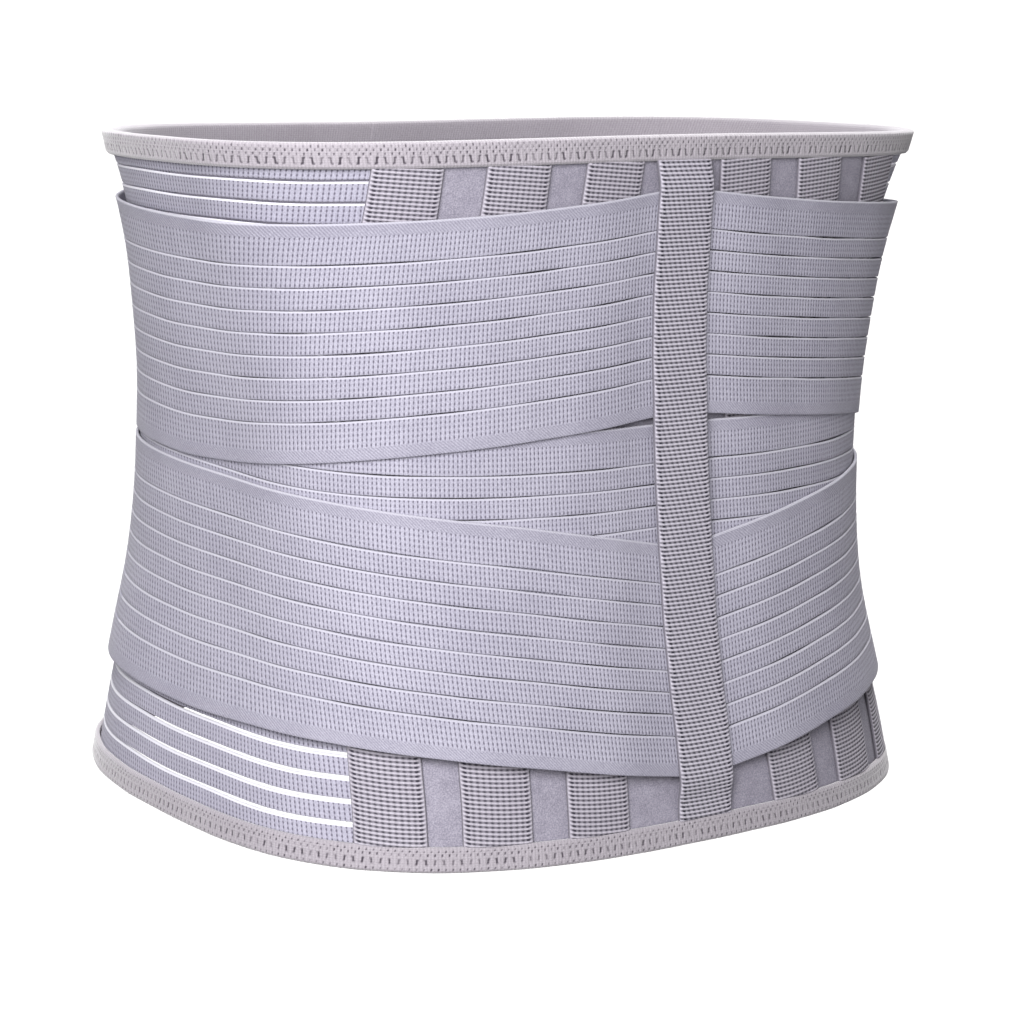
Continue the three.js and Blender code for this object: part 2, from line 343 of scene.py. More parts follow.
def add_node(
    tree: Tree,
    kind: str,
    inputs: Mapping[str | int, object] | None = None,
    output: str | int = 0,
    **settings: object,
) -> Socket | None:
    """Adds a node with its settings and links.

    Args:
        tree: the node tree to add it to.
        kind: the node's type name.
        inputs: a value, or a socket to link, for each of its inputs that is named here.
        output: which output to return.
        settings: the node's own properties.

    Returns:
        That output, or None for a node that has none.
    """
    node = tree.nodes.new(kind)
    for name, value in settings.items():
        setattr(node, name, value)
    for key, value in (inputs or {}).items():
        if isinstance(value, Socket):
            tree.links.new(value, node.inputs[key])
        else:
            node.inputs[key].default_value = value
    return node.outputs[output] if node.outputs else None


def weave_wave(tree: Tree, along: Socket, pitch: float, shift: Socket | float = 0.0) -> Socket:
    """Threads that repeat along a direction, as a wave that is 1 on each thread and -1 between two.

    Args:
        tree: the node tree.
        along: the place along the direction, in millimetres.
        pitch: the threads' spacing in millimetres.
        shift: an angle, or a socket that gives one, that moves the threads along.

    Returns:
        The wave.
    """
    place = {0: along, 1: TURN / pitch, 2: shift}
    turned = add_node(tree, "ShaderNodeMath", place, operation="MULTIPLY_ADD")
    return add_node(tree, "ShaderNodeMath", {0: turned}, operation="COSINE")


@dataclass(frozen=True)
class Finish:
    """A cloth's colour and surface. Each kind of cloth adds its own pattern."""

    name: str
    colour: str
    shade: str  # the same cloth where it is a little darker
    roughness: float = 0.85
    specular: float = 0.25
    sheen: float = 0.12
    sheen_roughness: float = 0.5
    relief_mm: float = 0.18
    cloud_mm: float = 26.0  # size of the faint patches that dyed cloth has
    thread_mm: float = 0.5  # coarser than the real yarn, so that it shows
    thread_contrast: float = 0.6

    def pattern(self, tree: Tree, cloth: Socket) -> tuple[Socket, Socket]:
        """Weaves the pattern.

        Args:
            tree: the material's node tree.
            cloth: the cloth's faintly patchy colour.

        Returns:
            The colour and the height of the surface.
        """
        raise NotImplementedError

    def material(self) -> bpy.types.Material:
        """Makes the material, or finds it if another piece has it already.

        Returns:
            The material.
        """
        found = bpy.data.materials.get(self.name)
        if found:
            return found
        material = bpy.data.materials.new(self.name)
        material.use_nodes = True
        tree = material.node_tree
        tree.nodes.clear()
        place = add_node(tree, "ShaderNodeTexCoord", output="Object")
        noise = {"Vector": place, "Scale": 1 / (self.cloud_mm * MM), "Detail": 3.0}
        cloud = add_node(tree, "ShaderNodeTexNoise", noise)
        noise = {"Vector": place, "Scale": 1 / (self.thread_mm * MM), "Detail": 2.0}
        thread = add_node(tree, "ShaderNodeTexNoise", noise)
        spread = {0: thread, 1: 0.3, 2: 0.7, 3: -self.thread_contrast, 4: self.thread_contrast}
        thread = add_node(tree, "ShaderNodeMapRange", spread)
        uneven = add_node(tree, "ShaderNodeMath", {0: cloud, 1: thread}, operation="ADD", use_clamp=True)
        mixed = {MIX_FACTOR: uneven, MIX_A: linear(self.shade), MIX_B: linear(self.colour)}
        cloth = add_node(tree, "ShaderNodeMix", mixed, MIX_RESULT, data_type="RGBA")
        colour, height = self.pattern(tree, cloth)
        bump = {"Height": height, "Distance": self.relief_mm * MM, "Strength": 1.0}
        normal = add_node(tree, "ShaderNodeBump", bump)
        surface = {
            "Base Color": colour,
            "Normal": normal,
            "Roughness": self.roughness,
            "Specular IOR Level": self.specular,
            "Sheen Weight": self.sheen,
            "Sheen Roughness": self.sheen_roughness,
        }
        shader = add_node(tree, "ShaderNodeBsdfPrincipled", surface)
        add_node(tree, "ShaderNodeOutputMaterial", {"Surface": shader})
        return material


def cut_place(tree: Tree) -> tuple[Socket, Socket]:
    """Reads the place on the flat cut.

    Args:
        tree: the material's node tree.

    Returns:
        The millimetres along the cloth and across it.
    """
    cut = add_node(tree, "ShaderNodeUVMap", uv_map="cut")
    along, across = (add_node(tree, "ShaderNodeSeparateXYZ", {"Vector": cut}, axis) for axis in "XY")
    return along, across


@dataclass(frozen=True)
class SlitElastic(Finish):
    """Knitted elastic: fine upright ribs with rows of small dark eyelets, a rolled lip along each slit,
    paled partly by a painted highlight, and a smooth twill selvedge. It gives the eye a soft grey-lilac
    ground, finely dotted."""

    eyelet: str = "#4f4a5a"
    # the lips' colour: partly their own paler rolled edge, partly painted highlight
    lip: str = "#c0bec9"
    column_pitch_mm: float = 1.42
    row_pitch_mm: float = 1.8
    twill_pitch_mm: float = 1.15
    selvedge_mm: float = 4.3
    lip_mm: float = 0.6
    row_share: float = 0.3  # how far the rows break the dark columns into eyelets
    eyelet_range: tuple[float, float] = (0.25, 1.3)  # where the knit's wave is open, faintly and fully
    eyelet_dark: float = 0.85
    selvedge_dark: float = 0.2
    twill_dark: float = 0.16

    def pattern(self, tree: Tree, cloth: Socket) -> tuple[Socket, Socket]:
        """Knits the ribs and eyelets, leaves the lips and the selvedge without them, and paints a highlight
        on the lips.

        Args:
            tree: the material's node tree.
            cloth: the cloth's faintly patchy colour.

        Returns:
            The colour and the height of the surface.
        """
        along, across = cut_place(tree)
        to_lip, to_edge, stretch = (
            add_node(tree, "ShaderNodeAttribute", output="Fac", attribute_name=name)
            for name in ("to_lip", "to_edge", "stretch")
        )
        fade = {0: to_lip, 1: self.lip_mm + 0.2, 2: self.lip_mm - 0.2}
        lip = add_node(tree, "ShaderNodeMapRange", fade, interpolation_type="SMOOTHSTEP")
        fade = {0: to_edge, 1: self.selvedge_mm + 0.3, 2: self.selvedge_mm - 0.3}
        selvedge = add_node(tree, "ShaderNodeMapRange", fade, interpolation_type="SMOOTHSTEP")
        smooth = add_node(tree, "ShaderNodeMath", {0: lip, 1: selvedge}, operation="MAXIMUM")
        knitted = add_node(tree, "ShaderNodeMath", {0: 1.0, 1: smooth}, operation="SUBTRACT")
        columns = weave_wave(tree, along, self.column_pitch_mm)
        rows = weave_wave(tree, to_lip, self.row_pitch_mm, math.pi)
        knit = {0: rows, 1: self.row_share, 2: columns}
        crossing = add_node(tree, "ShaderNodeMath", knit, operation="MULTIPLY_ADD")
        spot = {0: crossing, 1: self.eyelet_range[0], 2: self.eyelet_range[1]}
        eyelet = add_node(tree, "ShaderNodeMapRange", spot, interpolation_type="SMOOTHSTEP")
        eyelet = add_node(tree, "ShaderNodeMath", {0: eyelet, 1: knitted}, operation="MULTIPLY")
        slant = add_node(tree, "ShaderNodeMath", {0: along, 1: across}, operation="ADD")
        twill = weave_wave(tree, slant, self.twill_pitch_mm)
        twill = add_node(tree, "ShaderNodeMath", {0: twill, 1: selvedge}, operation="MULTIPLY")
        plain = {0: selvedge, 1: self.selvedge_dark}
        shaded = add_node(tree, "ShaderNodeMath", plain, operation="MULTIPLY")
        furrows = {0: twill, 1: -self.twill_dark, 2: shaded}
        shaded = add_node(tree, "ShaderNodeMath", furrows, operation="MULTIPLY_ADD")
        spots = {0: eyelet, 1: self.eyelet_dark, 2: shaded}
        dark = add_node(tree, "ShaderNodeMath", spots, operation="MULTIPLY_ADD")
        mixed = {MIX_FACTOR: dark, MIX_A: cloth, MIX_B: linear(self.eyelet)}
        colour = add_node(tree, "ShaderNodeMix", mixed, MIX_RESULT, data_type="RGBA")
        # Painted highlight: the lips turn towards the lip colour as far as each point's share allows;
        # partly the lips' own paler rolled edge.
        pale = add_node(tree, "ShaderNodeMath", {0: lip, 1: stretch}, operation="MULTIPLY")
        mixed = {MIX_FACTOR: pale, MIX_A: colour, MIX_B: linear(self.lip)}
        colour = add_node(tree, "ShaderNodeMix", mixed, MIX_RESULT, data_type="RGBA")
        ribs = add_node(tree, "ShaderNodeMath", {0: columns, 1: knitted}, operation="MULTIPLY")
        ribs = add_node(tree, "ShaderNodeMath", {0: ribs, 1: -0.12, 2: 0.5}, operation="MULTIPLY_ADD")
        height = add_node(tree, "ShaderNodeMath", {0: eyelet, 1: -0.5, 2: ribs}, operation="MULTIPLY_ADD")
        height = add_node(tree, "ShaderNodeMath", {0: twill, 1: 0.2, 2: height}, operation="MULTIPLY_ADD")
        return colour, height


@dataclass(frozen=True)
class RibbedWebbing(Finish):
    """Woven webbing: pale weft ribs over dark gaps that the warp breaks into dashes, and slanted
    border threads. It gives the eye fine level stripes, almost white on dark plum."""

    gap: str = "#413d4c"
    rib_pitch_mm: float = 1.47
    dash_pitch_mm: float = 2.15
    stagger: float = 0.0  # turns by which each gap's dashes are set off from those below
    border_mm: float = 10.3  # distance of the border's row of holes from the middle line
    sewn_mm: tuple[float, float] = (12.0, 12.4)  # where painted shade darkens the edge, along the seam to the panel
    gap_dark: float = 0.75  # how dark the gaps between the ribs are
    dash_dark: float = 0.2  # how much more or less at each dash and between two
    hole_dark: float = 0.35  # how much more at the border's holes
    border_pale: float = 0.25  # how much less outside them
    seam_dark: float = 0.75

    def pattern(self, tree: Tree, cloth: Socket) -> tuple[Socket, Socket]:
        """Weaves the ribs, the dashes between them and the border, and paints shade along both edges.

        Args:
            tree: the material's node tree.
            cloth: the cloth's faintly patchy colour.

        Returns:
            The colour and the height of the surface.
        """
        across, along = cut_place(tree)
        ribs = weave_wave(tree, along, self.rib_pitch_mm)
        step = {0: along, 1: TURN * self.stagger / self.rib_pitch_mm}
        offset = add_node(tree, "ShaderNodeMath", step, operation="MULTIPLY")
        dashes = weave_wave(tree, across, self.dash_pitch_mm, offset)
        fade = {0: ribs, 1: 0.4, 2: -0.4}
        gap = add_node(tree, "ShaderNodeMapRange", fade, interpolation_type="SMOOTHSTEP")
        out = add_node(tree, "ShaderNodeMath", {0: across}, operation="ABSOLUTE")
        from_holes = add_node(tree, "ShaderNodeMath", {0: out, 1: self.border_mm}, operation="SUBTRACT")
        outside = {0: from_holes, 1: 1.1, 2: 1.6, 4: self.border_pale}
        border = add_node(tree, "ShaderNodeMapRange", outside)
        from_holes = add_node(tree, "ShaderNodeMath", {0: from_holes}, operation="ABSOLUTE")
        row = {0: from_holes, 1: 0.7, 2: 0.25, 4: self.hole_dark}
        holes = add_node(tree, "ShaderNodeMapRange", row)
        dashed = {0: dashes, 1: self.dash_dark, 2: self.gap_dark}
        broken = add_node(tree, "ShaderNodeMath", dashed, operation="MULTIPLY_ADD")
        broken = add_node(tree, "ShaderNodeMath", {0: broken, 1: holes}, operation="ADD")
        broken = add_node(tree, "ShaderNodeMath", {0: broken, 1: border}, operation="SUBTRACT")
        dark = add_node(tree, "ShaderNodeMath", {0: gap, 1: broken}, operation="MULTIPLY", use_clamp=True)
        beads = add_node(tree, "ShaderNodeMapRange", {0: dashes, 1: 0.1, 2: 1.0, 4: self.dash_dark})
        dark = add_node(tree, "ShaderNodeMath", {0: dark, 1: beads}, operation="MAXIMUM")
        # Painted shade: a thin dark line along both edges, where the webbing meets the panel.
        seam = {0: out, 1: self.sewn_mm[0], 2: self.sewn_mm[1], 4: self.seam_dark}
        sewn = add_node(tree, "ShaderNodeMapRange", seam)
        dark = add_node(tree, "ShaderNodeMath", {0: dark, 1: sewn}, operation="MAXIMUM")
        mixed = {MIX_FACTOR: dark, MIX_A: cloth, MIX_B: linear(self.gap)}
        colour = add_node(tree, "ShaderNodeMix", mixed, MIX_RESULT, data_type="RGBA")
        height = add_node(tree, "ShaderNodeMath", {0: dark, 1: -0.7, 2: 0.7}, operation="MULTIPLY_ADD")
        height = add_node(tree, "ShaderNodeMath", {0: dashes, 1: 0.1, 2: height}, operation="MULTIPLY_ADD")
        return colour, height


@dataclass(frozen=True)
class BrushedCloth(Finish):
    """Loop cloth brushed to a short nap: no weave shows, only a fine felted grain with soft patches."""

    grain_mm: float = 0.55  # coarser than the real nap, so that it shows
    grain_dark: float = 0.5

    def pattern(self, tree: Tree, cloth: Socket) -> tuple[Socket, Socket]:
        """Brushes the nap.

        Args:
            tree: the material's node tree.
            cloth: the cloth's faintly patchy colour.

        Returns:
            The colour and the height of the surface.
        """
        place = add_node(tree, "ShaderNodeTexCoord", output="Object")
        noise = {"Vector": place, "Scale": 1 / (self.grain_mm * MM), "Detail": 4.0, "Roughness": 0.7}
        grain = add_node(tree, "ShaderNodeTexNoise", noise)
        hollows = {0: grain, 1: 0.3, 2: 0.75, 3: self.grain_dark, 4: 0.0}
        dark = add_node(tree, "ShaderNodeMapRange", hollows)
        mixed = {MIX_FACTOR: dark, MIX_A: cloth, MIX_B: linear(self.shade)}
        colour = add_node(tree, "ShaderNodeMix", mixed, MIX_RESULT, data_type="RGBA")
        return colour, grain


@dataclass(frozen=True)
class BindingTape(Finish):
    """Knitted folding elastic: a warmer, pinkish grey with fine cross ribs, pricked with dark holes,
    and fuzzy enough to look paler where it turns away."""

    # the dark of the holes and stitches, partly painted shade in their dents
    hole: str = "#3d3640"
    rib_pitch_mm: float = 1.25
    course_pitch_mm: float = 0.8
    knit_dark: float = 0.08
    hole_dark: float = 0.88

    def pattern(self, tree: Tree, cloth: Socket) -> tuple[Socket, Socket]:
        """Knits the cross ribs and darkens the pricked holes and the stitches' hollows, partly as painted
        shade in their dents.

        Args:
            tree: the material's node tree.
            cloth: the cloth's faintly patchy colour.

        Returns:
            The colour and the height of the surface.
        """
        along, across = cut_place(tree)
        dent = add_node(tree, "ShaderNodeAttribute", output="Fac", attribute_name="dent")
        ribs = weave_wave(tree, along, self.rib_pitch_mm)
        courses = weave_wave(tree, across, self.course_pitch_mm)
        knit = add_node(tree, "ShaderNodeMath", {0: courses, 1: 0.5, 2: ribs}, operation="MULTIPLY_ADD")
        hollows = {0: knit, 1: -self.knit_dark, 2: 1.5 * self.knit_dark}
        shaded = add_node(tree, "ShaderNodeMath", hollows, operation="MULTIPLY_ADD")
        # The holes and the stitches' hollows: partly their own dark, partly painted shade that deepens with
        # the dent.
        hole = add_node(tree, "ShaderNodeMapRange", {0: dent, 1: 0.15, 2: 0.75, 4: self.hole_dark})
        dark = add_node(tree, "ShaderNodeMath", {0: hole, 1: shaded}, operation="ADD")
        mixed = {MIX_FACTOR: dark, MIX_A: cloth, MIX_B: linear(self.hole)}
        colour = add_node(tree, "ShaderNodeMix", mixed, MIX_RESULT, data_type="RGBA")
        height = add_node(tree, "ShaderNodeMath", {0: knit, 1: 0.2, 2: 0.5}, operation="MULTIPLY_ADD")
        return colour, height


STRAP_ELASTIC = SlitElastic("slit_elastic_knit", "#b5b2c1", "#9c99a9")
SIDE_ELASTIC = SlitElastic(
    "side_elastic_knit",
    "#b4b1c1",
    "#9e9bab",
    # a brighter painted highlight on the lips, partly their own pale rolled edge
    lip="#dddbe4",
    column_pitch_mm=1.85,
    row_pitch_mm=1.62,
    selvedge_mm=-1.0,
    lip_mm=0.7,
)
CHANNEL_WEBBING = RibbedWebbing("ribbed_polyester_webbing", "#bcb7c2", "#aea8b4", gap="#38343f")
TAPE_WEBBING = RibbedWebbing(
    "centre_polyester_webbing", "#c8c3cf", "#b9b4c1", gap="#292532", dash_pitch_mm=2.35, stagger=0.2
)
PANEL_CLOTH = BrushedCloth("brushed_loop_cloth", "#aea9b7", "#837f8d", cloud_mm=7.0)
EDGE_TAPE = BindingTape("folded_edge_elastic", "#b3acb4", "#a39ca4", sheen=0.6)


# Cloth


class FlatCut:
    """A flat piece of cloth as a grid of cells, some of them cut out."""

    def __init__(
        self,
        name: str,
        columns: int,
        rows: int,
        is_open: Callable[[int, int], bool] | None = None,
        two_faced: bool = True,
    ) -> None:
        """Cuts the cloth.

        Args:
            name: the piece's name.
            columns: how many cells it has along its length.
            rows: how many cells it has across.
            is_open: tells whether the cell in a column and row is cut out.
            two_faced: whether it has an outer and an inner face, with walls between them.
        """
        cloth = bmesh.new()
        bmesh.ops.create_grid(cloth, x_segments=columns, y_segments=rows, size=0.5)
        if is_open:
            cut = []
            for face in cloth.faces:
                middle = face.calc_center_median()
                if is_open(int((middle.x + 0.5) * columns), int((middle.y + 0.5) * rows)):
                    cut.append(face)
            bmesh.ops.delete(cloth, geom=cut, context="FACES")
        if two_faced:
            bmesh.ops.solidify(cloth, geom=cloth.faces[:], thickness=1.0)
        self.mesh = bpy.data.meshes.new(name)
        cloth.to_mesh(self.mesh)
        cloth.free()
        self.piece = bpy.data.objects.new(name, self.mesh)
        bpy.context.scene.collection.objects.link(self.piece)
        flat = np.empty(len(self.mesh.vertices) * 3, np.float32)
        self.mesh.vertices.foreach_get("co", flat)
        flat = flat.reshape(-1, 3)
        self.column = np.rint((flat[:, 0] + 0.5) * columns).astype(int)
        self.row = np.rint((flat[:, 1] + 0.5) * rows).astype(int)
        self.outer = flat[:, 2] > -0.5

    def wrap(self, form: WornForm, girth: np.ndarray, height: np.ndarray, lift: np.ndarray) -> None:
        """Wraps each point of the cut round the form.

        Args:
            form: the worn form.
            girth: the points' girths.
            height: their heights.
            lift: their lifts.
        """
        points = form.place(girth, height, lift)
        self.mesh.vertices.foreach_set("co", points.astype(np.float32).ravel())
        self.mesh.polygons.foreach_set("use_smooth", np.ones(len(self.mesh.polygons), bool))
        self.mesh.update()

    def map_cut(self, along: np.ndarray, across: np.ndarray) -> None:
        """Keeps each point's place on the flat cut as the UV map that finishes read.

        Args:
            along: the points' millimetres along the cloth.
            across: their millimetres across it.
        """
        corners = np.empty(len(self.mesh.loops), np.int32)
        self.mesh.loops.foreach_get("vertex_index", corners)
        places = np.stack([along, across], axis=-1)[corners]
        self.mesh.uv_layers.new(name="cut").uv.foreach_set("vector", places.astype(np.float32).ravel())

    def note(self, name: str, values: np.ndarray) -> None:
        """Keeps one number for each point as an attribute that finishes read."""
        attribute = self.mesh.attributes.new(name, "FLOAT", "POINT")
        attribute.data.foreach_set("value", values.astype(np.float32))

    def close(self) -> None:
        """Joins edges of the wrapped cut that have come together, and turns all faces outwards."""
        joined = bmesh.new()
        joined.from_mesh(self.mesh)
        bmesh.ops.remove_doubles(joined, verts=joined.verts[:], dist=1e-6)
        bmesh.ops.recalc_face_normals(joined, faces=joined.faces[:])
        joined.to_mesh(self.mesh)
        joined.free()


def dress(piece: bpy.types.Object, node: str, finish: Finish) -> None:
    """Gives a piece its finish, and lets it stand for its solid.

    Args:
        piece: the piece.
        node: the solid that it stands for.
        finish: its finish.
    """
    piece.data.materials.append(finish.material())
    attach(piece, BODY)
    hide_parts(node)
    LOG.info("%s stands for %s, with %d faces", piece.name, node, len(piece.data.polygons))


@dataclass(frozen=True)
class BandRows:
    """The rows of points across one band of slit elastic, close together at its rolled lips."""

    lip_rows: tuple[float, ...] = (0.0, 0.12, 0.4, 0.95)
    lip_turns: tuple[float, ...] = (1.0, 0.38, 0.0, 0.0)  # how far the faces have turned in there
    widest_row: float = 2.6
    roll: float = 0.3  # how far each face turns in at a lip, as a share of the thickness
    bead: float = 0.12  # how far the bead along the upper lip stands up; its paleness is partly painted highlight
    bead_place: float = 0.5  # its distance from that lip
    bead_reach: float = 0.4
    crown: float = 0.06

    def across(self, width: float) -> np.ndarray:
        """Spaces the rows of one band.

        Args:
            width: the band's width.

        Returns:
            The rows' distances from the band's lower lip.
        """
        lips = np.array(self.lip_rows)
        inner = width - 2 * lips[-1]
        count = max(1, math.ceil(inner / self.widest_row))
        middle = lips[-1] + inner * np.arange(1, count) / count
        return np.concatenate([lips, middle, width - lips[::-1]])

    def layout(self, widths: Sequence[float]) -> tuple[np.ndarray, np.ndarray, set[int]]:
        """Spaces the rows of bands that lie side by side, with a slit between each two.

        Args:
            widths: the bands' widths from the bottom up.

        Returns:
            Each row's band, its distance from that band's lower lip, and which rows of cells are slits.
        """
        across = [self.across(width) for width in widths]
        counts = [len(rows) for rows in across]
        slit_rows = set(np.cumsum(counts)[:-1] - 1)
        return np.repeat(np.arange(len(across)), counts), np.concatenate(across), slit_rows

    def profile(self, up: np.ndarray, width: np.ndarray, outer: np.ndarray, thickness: float) -> np.ndarray:
        """The lift that a band's own thickness gives each point.

        Args:
            up: distances from the band's lower lip.
            width: the band's width at each point.
            outer: whether each point is on the outer face.
            thickness: the cloth's thickness.

        Returns:
            The lifts above the band's inner face.
        """
        from_lip = np.minimum(up, width - up)
        turned = thickness * self.roll * np.interp(from_lip, self.lip_rows, self.lip_turns)
        bead = self.bead * np.exp(-(((width - up - self.bead_place) / self.bead_reach) ** 2))
        crown = self.crown * (1 - (2 * up / width - 1) ** 2)
        return np.where(outer, thickness - turned + bead + crown, turned)


# Pull straps


@dataclass(frozen=True)
class StrapStation:
    """The straps at one girth: heights of their edges, and the lifts of their inner faces."""

    girth: float
    upper: tuple[float, float]
    lower: tuple[float, float]
    middle_lift: float
    over_lift: float


STRAP_RUN = (
    StrapStation(0, (151.5, 231.5), (23, 104), 2.7, 4.3),
    StrapStation(13, (150.7, 230.3), (25, 106.5), 2.7, 4.3),
    StrapStation(34, (148.7, 228), (28.5, 110.8), 4.9, 6.5),
    StrapStation(72, (145, 224.6), (35.2, 117.4), 5.3, 6.9),
    StrapStation(104, (141.3, 222.3), (39.5, 121.2), 5.3, 6.9),
    StrapStation(124, (138.2, 221), (41.4, 123.4), 5, 6.6),
    StrapStation(140, (135.3, 219.7), (42.2, 124.4), 4.5, 6.1),
    StrapStation(170, (130.8, 217.6), (41.8, 124.8), 2.4, 4),
    StrapStation(206, (127.6, 217), (39.9, 124.7), 2.4, 4),
    StrapStation(274, (127.4, 217.4), (40, 125), 2.4, 4),
    StrapStation(330, (127.4, 217.4), (40, 125), 2.4, 4),
)
MIDDLE_STRAP = (68.0, 148.0)  # the middle strap lies level, with its edges at these heights


@dataclass
class PullStrap:
    """A pull strap of slit elastic, from under the centre tape to its plain end at the front."""

    form: WornForm
    row: StrapRow
    side: Side | None = None  # the middle strap goes round both sides
    slits: int = 8
    edge_band: float = 13.2
    band: float = 7.2
    thickness: float = 1.1
    start: float = 1.5
    slit_end: float = 274.0
    end: float = 330.0
    middle_end: float = 304.0
    gape: float = 0.26  # a slit's usual opening
    gape_swing: float = 0.7  # how far it changes along the slit, as a share
    gape_range: tuple[float, float] = (0.4, 1.9)
    gape_length: float = 55.0
    slack_gape: float = 1.15  # the opening where the elastic is slack, as a share
    left_change: float = -0.55  # how that share changes where the elastic is tight
    right_change: float = 0.1
    slack_lip: float = 0.6  # how strong the painted highlight on a slack lip is, as a share
    left_tight: tuple[float, float] = (110.0, 185.0)  # girths between which the elastic grows tight and the painted lip highlight grows full
    right_tight: tuple[float, float] = (10.0, 60.0)
    pull_reach: tuple[float, ...] = (0, 80, 125, 145, 170)
    pull: tuple[float, ...] = (1.1, 1.05, 0.97, 1.1, 1.55)  # how far the knit is drawn out there
    ridge: float = 0.22  # how far a stay channel underneath raises the strap
    ridge_reach: tuple[float, float] = (17.0, 8.0)  # from its middle line, where that starts and is full
    slack: float = 0.1  # how far the strap swings in and out
    slack_length: float = 70.0
    held: tuple[float, float] = (14.0, 40.0)  # girths between which the centre tape lets go of it
    column_step: float = 3.0
    bands: BandRows = field(default_factory=BandRows)

    @property
    def node(self) -> str:
        """The solid that this strap stands for."""
        return f"{self.row.value}_strap" + (f"_{self.side.word}" if self.side else "")

    @property
    def cut_width(self) -> float:
        """Width of the flat cut, with its slits closed."""
        return 2 * self.edge_band + (self.slits - 1) * self.band

    def station(self, girth: np.ndarray, value: Callable[[StrapStation], float]) -> np.ndarray:
        """A value of the strap table at each girth."""
        stations = [station.girth for station in STRAP_RUN]
        return eased(np.abs(girth), stations, [value(station) for station in STRAP_RUN])

    def edges(self, girth: np.ndarray) -> tuple[np.ndarray, np.ndarray]:
        """Heights of the edges along the strap.

        Args:
            girth: each point's girth.

        Returns:
            The heights of the lower and of the upper edge.
        """
        if self.row is StrapRow.MIDDLE:
            low, high = MIDDLE_STRAP
            return np.full_like(girth, low), np.full_like(girth, high)
        name = self.row.value
        low, high = (self.station(girth, lambda s, edge=edge: getattr(s, name)[edge]) for edge in (0, 1))
        return low, high

    def girths(self) -> np.ndarray:
        """Spaces the columns of points along the strap.

        Returns:
            Their girths, from the wearer's left to the right.
        """
        if self.row is StrapRow.MIDDLE:
            count = round(2 * self.middle_end / self.column_step)
            return np.linspace(-self.middle_end, self.middle_end, count + 1)
        count = round((self.end - self.start) / self.column_step)
        reach = np.linspace(self.start, self.end, count + 1)
        return reach if self.side is Side.RIGHT else -reach[::-1]

    def build(self) -> bpy.types.Object:
        """Cuts the strap, slits it and lays it round the form.

        Returns:
            The finished piece.
        """
        widths = np.array([self.edge_band, *[self.band] * (self.slits - 1), self.edge_band])
        starts = np.concatenate([[0], np.cumsum(widths)[:-1]])
        band_of_row, up_of_row, slit_rows = self.bands.layout(widths)
        girths = self.girths()

        def is_open(column: int, row: int) -> bool:
            """Whether the cell is part of a slit."""
            reach = max(abs(girths[column]), abs(girths[column + 1]))
            return row in slit_rows and reach <= self.slit_end

        cut = FlatCut(f"{self.node}_elastic", len(girths) - 1, len(up_of_row) - 1, is_open)
        girth = girths[cut.column]
        band, up = band_of_row[cut.row], up_of_row[cut.row]
        width = widths[band]
        low, high = self.edges(girth)
        slits = low + (high - low) * (starts[1:] / self.cut_width)[:, None]
        half_gapes = self.gapes(girth) / 2
        points = np.arange(len(girth))
        bottoms = np.vstack([low, slits + half_gapes])[band, points]
        tops = np.vstack([slits - half_gapes, high])[band, points]
        height = bottoms + (tops - bottoms) * up / width
        over = self.row is not StrapRow.MIDDLE
        lift = self.station(girth, lambda s: s.over_lift if over else s.middle_lift)
        lift = lift + self.bands.profile(up, width, cut.outer, self.thickness)
        seed = Seed.STRAP_SWING + 7 * len(self.node)
        swing = wander(girth + 2 * band, seed, self.slack_length)
        lift += self.slack * swing * smoothstep(np.abs(girth), *self.held)
        for channel in CHANNELS:
            away = np.abs(np.abs(girth) - channel.girth(height))
            lift += self.ridge * smoothstep(away, *self.ridge_reach)
        cut.wrap(self.form, girth, height, lift)
        cut.map_cut(self.knit_place(girth), starts[band] + up)
        cut.note("to_lip", width - up)
        cut.note("to_edge", np.minimum(starts[band] + up, self.cut_width - starts[band] - up))
        # Painted highlight on the slits' lips: weaker across the middle of the back, full round the sides.
        pale = self.slack_lip + (1 - self.slack_lip) * self.tight(girth)
        cut.note("stretch", pale * (np.abs(girth) <= self.slit_end))
        dress(cut.piece, self.node, STRAP_ELASTIC)
        return cut.piece

    def tight(self, girth: np.ndarray) -> np.ndarray:
        """How tight the elastic is at each girth, as a share: it changes the slits' openings and
        strengthens the painted highlight on their lips.
        """
        left, right = (smoothstep(np.abs(girth), *ends) for ends in (self.left_tight, self.right_tight))
        return np.where(girth < 0, left, right)

    def knit_place(self, girth: np.ndarray) -> np.ndarray:
        """Each point's place along the slack knit, which is drawn out most round the sides.

        Args:
            girth: each point's girth.

        Returns:
            The places from the middle of the back.
        """
        reach = np.arange(0, self.end + 1)
        slack = np.cumsum(1 / np.interp(reach, self.pull_reach, self.pull))
        return np.sign(girth) * np.interp(np.abs(girth), reach, slack)

    def gapes(self, girth: np.ndarray) -> np.ndarray:
        """How far each slit opens along the strap, which is never quite even.

        Args:
            girth: each point's girth.

        Returns:
            The openings, with a row for each slit from the bottom up.
        """
        seed = Seed.STRAP_GAPE + 17 * len(self.node)
        swings = np.array([wander(girth, seed + slit, self.gape_length) for slit in range(self.slits)])
        uneven = np.clip(1 + self.gape_swing * swings, *self.gape_range)
        change = np.where(girth < 0, self.left_change, self.right_change) * self.tight(girth)
        return self.gape * uneven * (self.slack_gape + change)


# Belt


@dataclass(frozen=True)
class ChannelLine:
    """The girth of a stay channel's middle line at the bottom and top edges, on one side."""

    number: int
    bottom: float
    top: float

    def girth(self, height: np.ndarray | float) -> np.ndarray:
        """The middle line's girth at each height."""
        return self.bottom + (self.top - self.bottom) * np.asarray(height) / HEIGHT


CHANNELS = (ChannelLine(1, 122.5, 109.5), ChannelLine(2, 86, 69), ChannelLine(3, 47.5, 29.5))


def elastic_seam(height: np.ndarray) -> np.ndarray:
    """Girth where the side elastic is sewn to the back panel, under the outer stay channel."""
    return CHANNELS[0].girth(height) + WEBBING_WIDTH / 2 - SEAM_TUCK


